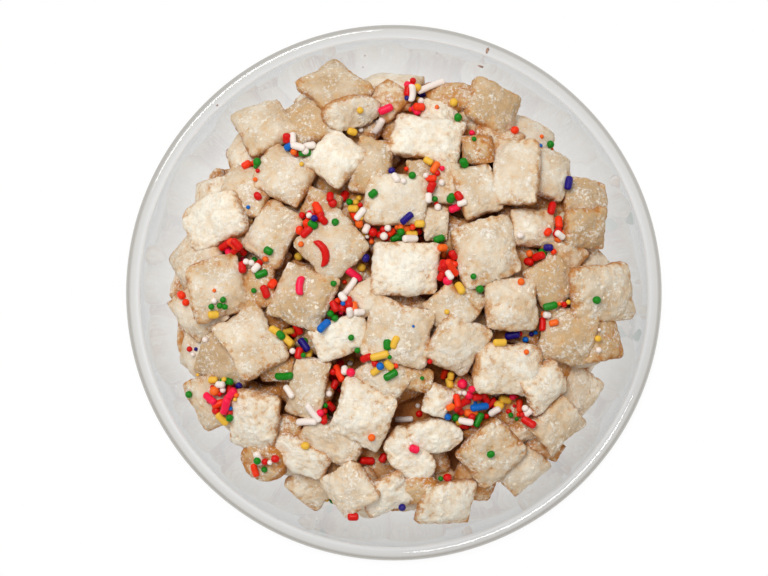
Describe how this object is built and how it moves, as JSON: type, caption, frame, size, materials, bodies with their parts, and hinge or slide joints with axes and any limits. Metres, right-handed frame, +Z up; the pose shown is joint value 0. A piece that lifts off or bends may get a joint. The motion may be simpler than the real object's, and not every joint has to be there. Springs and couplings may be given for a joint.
{
  "type": "bowl of puppy chow",
  "caption": "Clear round glass mixing bowl with a rolled rim and low foot, heaped with powder-coated cereal squares and small rod and ball sprinkles.",
  "frame": {"origin": "centre of the bowl's foot, on the table", "axes": "+Z up along the bowl's axis; seen from above as in the picture, +X is to the right and +Y towards its top edge"},
  "size_m": [0.152, 0.152, 0.0727],
  "materials": {
    "glass": "clear pressed glass, smooth and glossy, faintly grey at the rim",
    "coated_cereal": "cereal squares in a matt, grainy cream coat of sugar with tan in the hollows, and glossy coloured sprinkles"
  },
  "bodies": {
    "root": {"bowl": "glass", "puppy_chow": "coated_cereal"}
  },
  "joints": []
}
